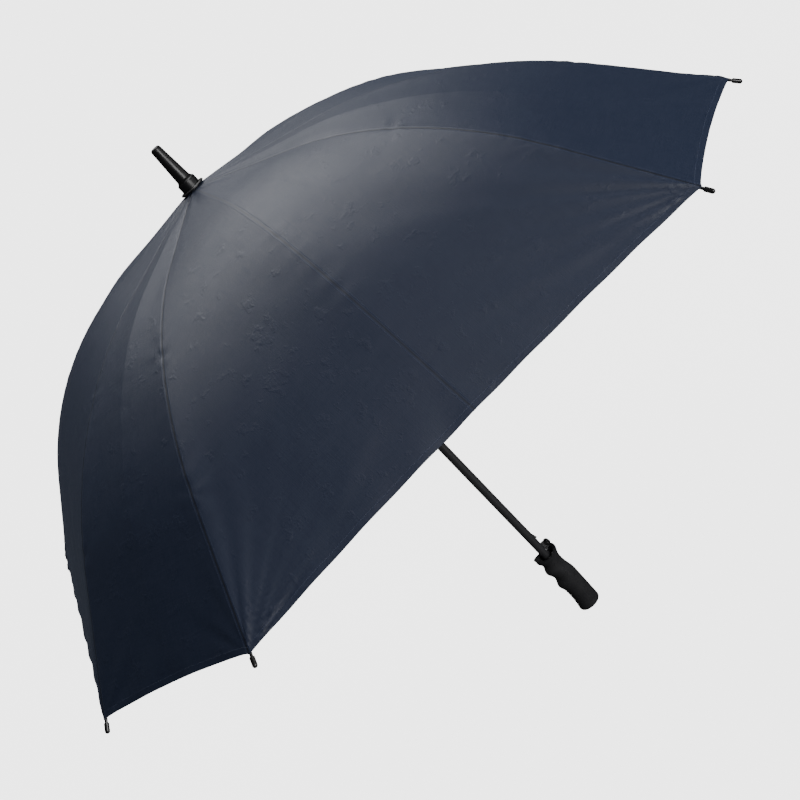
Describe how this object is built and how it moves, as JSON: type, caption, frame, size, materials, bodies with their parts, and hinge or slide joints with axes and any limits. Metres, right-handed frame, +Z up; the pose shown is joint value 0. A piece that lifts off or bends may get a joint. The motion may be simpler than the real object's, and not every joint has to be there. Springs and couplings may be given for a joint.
{
  "type": "golf umbrella",
  "caption": "Open automatic golf umbrella: square canopy with cut corners on paired ribs, straight shaft, finger-grooved handle and thumb release.",
  "frame": {"origin": "middle of the handle's flat butt", "axes": "+Z up the shaft to the ferrule's tip, +Y towards the release button, +X and +Y square to the canopy's straight edges; the canopy is open at rest"},
  "size_m": [1.1364, 1.1364, 0.988],
  "materials": {
    "canopy_cloth": "satin",
    "strap_cloth": "satin",
    "rib_steel": "satin",
    "rib_fibre": "satin",
    "tip_plastic": "gloss",
    "shaft_paint": "satin",
    "moulded_black": "satin",
    "ferrule_plastic": "gloss",
    "grip_plastic": "satin",
    "button_plastic": "satin",
    "wire_steel": "satin",
    "lever_steel": "satin",
    "pin_steel": "polished"
  },
  "bodies": {
    "shaft": {"shaft_tube": "shaft_paint", "top_notch": "moulded_black", "notch_wire": "wire_steel", "canopy_washer": "moulded_black", "ferrule_collar": "ferrule_plastic", "ferrule_spike": "ferrule_plastic", "handle_grip": "grip_plastic", "handle_insert": "moulded_black", "handle_end_plug": "grip_plastic", "lever_pin": "pin_steel", "opening_spring": "wire_steel"},
    "rib_1": {"rib_inner_1": "rib_steel", "canopy_panel_1": "canopy_cloth"},
    "rib_1_rod": {"rib_outer_1": "rib_fibre", "rib_tip_1": "tip_plastic"},
    "stretcher_1": {"stretcher_1": "rib_steel"},
    "rib_2": {"rib_inner_2": "rib_steel", "canopy_panel_2": "canopy_cloth"},
    "rib_2_rod": {"rib_outer_2": "rib_fibre", "rib_tip_2": "tip_plastic"},
    "stretcher_2": {"stretcher_2": "rib_steel"},
    "rib_3": {"rib_inner_3": "rib_steel", "canopy_panel_3": "canopy_cloth"},
    "rib_3_rod": {"rib_outer_3": "rib_fibre", "rib_tip_3": "tip_plastic"},
    "stretcher_3": {"stretcher_3": "rib_steel"},
    "rib_4": {"rib_inner_4": "rib_steel", "canopy_panel_4": "canopy_cloth"},
    "rib_4_rod": {"rib_outer_4": "rib_fibre", "rib_tip_4": "tip_plastic"},
    "stretcher_4": {"stretcher_4": "rib_steel"},
    "rib_5": {"rib_inner_5": "rib_steel", "canopy_panel_5": "canopy_cloth"},
    "rib_5_rod": {"rib_outer_5": "rib_fibre", "rib_tip_5": "tip_plastic", "closure_strap": "strap_cloth"},
    "stretcher_5": {"stretcher_5": "rib_steel"},
    "rib_6": {"rib_inner_6": "rib_steel", "canopy_panel_6": "canopy_cloth"},
    "rib_6_rod": {"rib_outer_6": "rib_fibre", "rib_tip_6": "tip_plastic"},
    "stretcher_6": {"stretcher_6": "rib_steel"},
    "rib_7": {"rib_inner_7": "rib_steel", "canopy_panel_7": "canopy_cloth"},
    "rib_7_rod": {"rib_outer_7": "rib_fibre", "rib_tip_7": "tip_plastic"},
    "stretcher_7": {"stretcher_7": "rib_steel"},
    "rib_8": {"rib_inner_8": "rib_steel", "canopy_panel_8": "canopy_cloth"},
    "rib_8_rod": {"rib_outer_8": "rib_fibre", "rib_tip_8": "tip_plastic"},
    "stretcher_8": {"stretcher_8": "rib_steel"},
    "runner": {"runner": "moulded_black", "runner_wire": "wire_steel", "spring_plunger": "pin_steel"},
    "release_lever": {"release_lever": "lever_steel", "release_button": "button_plastic", "button_pin": "pin_steel", "lower_catch": "lever_steel"},
    "upper_catch": {"upper_catch": "lever_steel"}
  },
  "joints": [
    {"name": "rib_1_fold", "type": "hinge", "parent": "shaft", "child": "rib_1", "pos_m": [0.01174, 0.00762, 0.9055], "axis": [-0.5446, 0.8387, 0], "range_deg": [0, 74.47], "stiffness_Nm_per_rad": 0.4, "springref_deg": -103.13, "deforming": ["canopy_panel_1", "canopy_panel_2", "canopy_panel_3", "canopy_panel_4", "canopy_panel_5", "canopy_panel_6", "canopy_panel_7", "canopy_panel_8", "opening_spring", "lower_catch"]},
    {"name": "rib_1_flex", "type": "hinge", "parent": "rib_1", "child": "rib_1_rod", "pos_m": [0.3227, 0.20957, 0.81294], "axis": [-0.5446, 0.8387, 0], "range_deg": [-25.5, 0]},
    {"name": "stretcher_1_pivot", "type": "hinge", "parent": "rib_1", "child": "stretcher_1", "pos_m": [0.31076, 0.20181, 0.81112], "axis": [-0.5446, 0.8387, 0], "range_deg": [-149.05, 0]},
    {"name": "rib_2_fold", "type": "hinge", "parent": "shaft", "child": "rib_2", "pos_m": [0.00762, 0.01174, 0.9055], "axis": [-0.8387, 0.5446, 0], "range_deg": [0, 74.52], "stiffness_Nm_per_rad": 0.4, "springref_deg": -103.13},
    {"name": "rib_2_flex", "type": "hinge", "parent": "rib_2", "child": "rib_2_rod", "pos_m": [0.20957, 0.3227, 0.81294], "axis": [-0.8387, 0.5446, 0], "range_deg": [-25.5, 0]},
    {"name": "stretcher_2_pivot", "type": "hinge", "parent": "rib_2", "child": "stretcher_2", "pos_m": [0.20181, 0.31076, 0.81112], "axis": [-0.8387, 0.5446, 0], "range_deg": [-149.05, 0]},
    {"name": "rib_3_fold", "type": "hinge", "parent": "shaft", "child": "rib_3", "pos_m": [-0.00762, 0.01174, 0.9055], "axis": [-0.8387, -0.5446, 0], "range_deg": [0, 74.52], "stiffness_Nm_per_rad": 0.4, "springref_deg": -103.13},
    {"name": "rib_3_flex", "type": "hinge", "parent": "rib_3", "child": "rib_3_rod", "pos_m": [-0.20957, 0.3227, 0.81294], "axis": [-0.8387, -0.5446, 0], "range_deg": [-25.5, 0]},
    {"name": "stretcher_3_pivot", "type": "hinge", "parent": "rib_3", "child": "stretcher_3", "pos_m": [-0.20181, 0.31076, 0.81112], "axis": [-0.8387, -0.5446, 0], "range_deg": [-149.05, 0]},
    {"name": "rib_4_fold", "type": "hinge", "parent": "shaft", "child": "rib_4", "pos_m": [-0.01174, 0.00762, 0.9055], "axis": [-0.5446, -0.8387, 0], "range_deg": [0, 74.52], "stiffness_Nm_per_rad": 0.4, "springref_deg": -103.13},
    {"name": "rib_4_flex", "type": "hinge", "parent": "rib_4", "child": "rib_4_rod", "pos_m": [-0.3227, 0.20957, 0.81294], "axis": [-0.5446, -0.8387, 0], "range_deg": [-25.5, 0]},
    {"name": "stretcher_4_pivot", "type": "hinge", "parent": "rib_4", "child": "stretcher_4", "pos_m": [-0.31076, 0.20181, 0.81112], "axis": [-0.5446, -0.8387, 0], "range_deg": [-149.05, 0]},
    {"name": "rib_5_fold", "type": "hinge", "parent": "shaft", "child": "rib_5", "pos_m": [-0.01174, -0.00762, 0.9055], "axis": [0.5446, -0.8387, 0], "range_deg": [0, 74.52], "stiffness_Nm_per_rad": 0.4, "springref_deg": -103.13},
    {"name": "rib_5_flex", "type": "hinge", "parent": "rib_5", "child": "rib_5_rod", "pos_m": [-0.3227, -0.20957, 0.81294], "axis": [0.5446, -0.8387, 0], "range_deg": [-25.5, 0]},
    {"name": "stretcher_5_pivot", "type": "hinge", "parent": "rib_5", "child": "stretcher_5", "pos_m": [-0.31076, -0.20181, 0.81112], "axis": [0.5446, -0.8387, 0], "range_deg": [-149.05, 0]},
    {"name": "rib_6_fold", "type": "hinge", "parent": "shaft", "child": "rib_6", "pos_m": [-0.00762, -0.01174, 0.9055], "axis": [0.8387, -0.5446, 0], "range_deg": [0, 74.52], "stiffness_Nm_per_rad": 0.4, "springref_deg": -103.13},
    {"name": "rib_6_flex", "type": "hinge", "parent": "rib_6", "child": "rib_6_rod", "pos_m": [-0.20957, -0.3227, 0.81294], "axis": [0.8387, -0.5446, 0], "range_deg": [-25.5, 0]},
    {"name": "stretcher_6_pivot", "type": "hinge", "parent": "rib_6", "child": "stretcher_6", "pos_m": [-0.20181, -0.31076, 0.81112], "axis": [0.8387, -0.5446, 0], "range_deg": [-149.05, 0]},
    {"name": "rib_7_fold", "type": "hinge", "parent": "shaft", "child": "rib_7", "pos_m": [0.00762, -0.01174, 0.9055], "axis": [0.8387, 0.5446, 0], "range_deg": [0, 74.52], "stiffness_Nm_per_rad": 0.4, "springref_deg": -103.13},
    {"name": "rib_7_flex", "type": "hinge", "parent": "rib_7", "child": "rib_7_rod", "pos_m": [0.20957, -0.3227, 0.81294], "axis": [0.8387, 0.5446, 0], "range_deg": [-25.5, 0]},
    {"name": "stretcher_7_pivot", "type": "hinge", "parent": "rib_7", "child": "stretcher_7", "pos_m": [0.20181, -0.31076, 0.81112], "axis": [0.8387, 0.5446, 0], "range_deg": [-149.05, 0]},
    {"name": "rib_8_fold", "type": "hinge", "parent": "shaft", "child": "rib_8", "pos_m": [0.01174, -0.00762, 0.9055], "axis": [0.5446, 0.8387, 0], "range_deg": [0, 74.52], "stiffness_Nm_per_rad": 0.4, "springref_deg": -103.13},
    {"name": "rib_8_flex", "type": "hinge", "parent": "rib_8", "child": "rib_8_rod", "pos_m": [0.3227, -0.20957, 0.81294], "axis": [0.5446, 0.8387, 0], "range_deg": [-25.5, 0]},
    {"name": "stretcher_8_pivot", "type": "hinge", "parent": "rib_8", "child": "stretcher_8", "pos_m": [0.31076, -0.20181, 0.81112], "axis": [0.5446, 0.8387, 0], "range_deg": [-149.05, 0]},
    {"name": "runner_travel", "type": "hinge", "parent": "stretcher_1", "child": "runner", "pos_m": [0.01174, 0.00762, 0.71675], "axis": [-0.5446, 0.8387, 0], "range_deg": [0, 74.52]},
    {"name": "release_press", "type": "hinge", "parent": "shaft", "child": "release_lever", "pos_m": [0, 0.0056, 0.1245], "axis": [1, 0, 0], "range_deg": [0, 7], "stiffness_Nm_per_rad": 0.5, "springref_deg": -11.46},
    {"name": "upper_catch_slide", "type": "slide", "parent": "shaft", "child": "upper_catch", "axis": [0, 1, 0], "range_m": [-0.0032, 0], "stiffness_N_per_m": 600, "springref_m": 0.004}
  ],
  "couplings": [
    {"joint": "rib_1_flex", "follows": "rib_1_fold", "ratio": -0.34106},
    {"joint": "stretcher_1_pivot", "follows": "rib_1_fold", "ratio": -2},
    {"joint": "rib_2_fold", "follows": "rib_1_fold", "ratio": 1},
    {"joint": "rib_2_flex", "follows": "rib_1_fold", "ratio": -0.34106},
    {"joint": "stretcher_2_pivot", "follows": "rib_1_fold", "ratio": -2},
    {"joint": "rib_3_fold", "follows": "rib_1_fold", "ratio": 1},
    {"joint": "rib_3_flex", "follows": "rib_1_fold", "ratio": -0.34106},
    {"joint": "stretcher_3_pivot", "follows": "rib_1_fold", "ratio": -2},
    {"joint": "rib_4_fold", "follows": "rib_1_fold", "ratio": 1},
    {"joint": "rib_4_flex", "follows": "rib_1_fold", "ratio": -0.34106},
    {"joint": "stretcher_4_pivot", "follows": "rib_1_fold", "ratio": -2},
    {"joint": "rib_5_fold", "follows": "rib_1_fold", "ratio": 1},
    {"joint": "rib_5_flex", "follows": "rib_1_fold", "ratio": -0.34106},
    {"joint": "stretcher_5_pivot", "follows": "rib_1_fold", "ratio": -2},
    {"joint": "rib_6_fold", "follows": "rib_1_fold", "ratio": 1},
    {"joint": "rib_6_flex", "follows": "rib_1_fold", "ratio": -0.34106},
    {"joint": "stretcher_6_pivot", "follows": "rib_1_fold", "ratio": -2},
    {"joint": "rib_7_fold", "follows": "rib_1_fold", "ratio": 1},
    {"joint": "rib_7_flex", "follows": "rib_1_fold", "ratio": -0.34106},
    {"joint": "stretcher_7_pivot", "follows": "rib_1_fold", "ratio": -2},
    {"joint": "rib_8_fold", "follows": "rib_1_fold", "ratio": 1},
    {"joint": "rib_8_flex", "follows": "rib_1_fold", "ratio": -0.34106},
    {"joint": "stretcher_8_pivot", "follows": "rib_1_fold", "ratio": -2},
    {"joint": "runner_travel", "follows": "rib_1_fold", "ratio": 1}
  ]
}
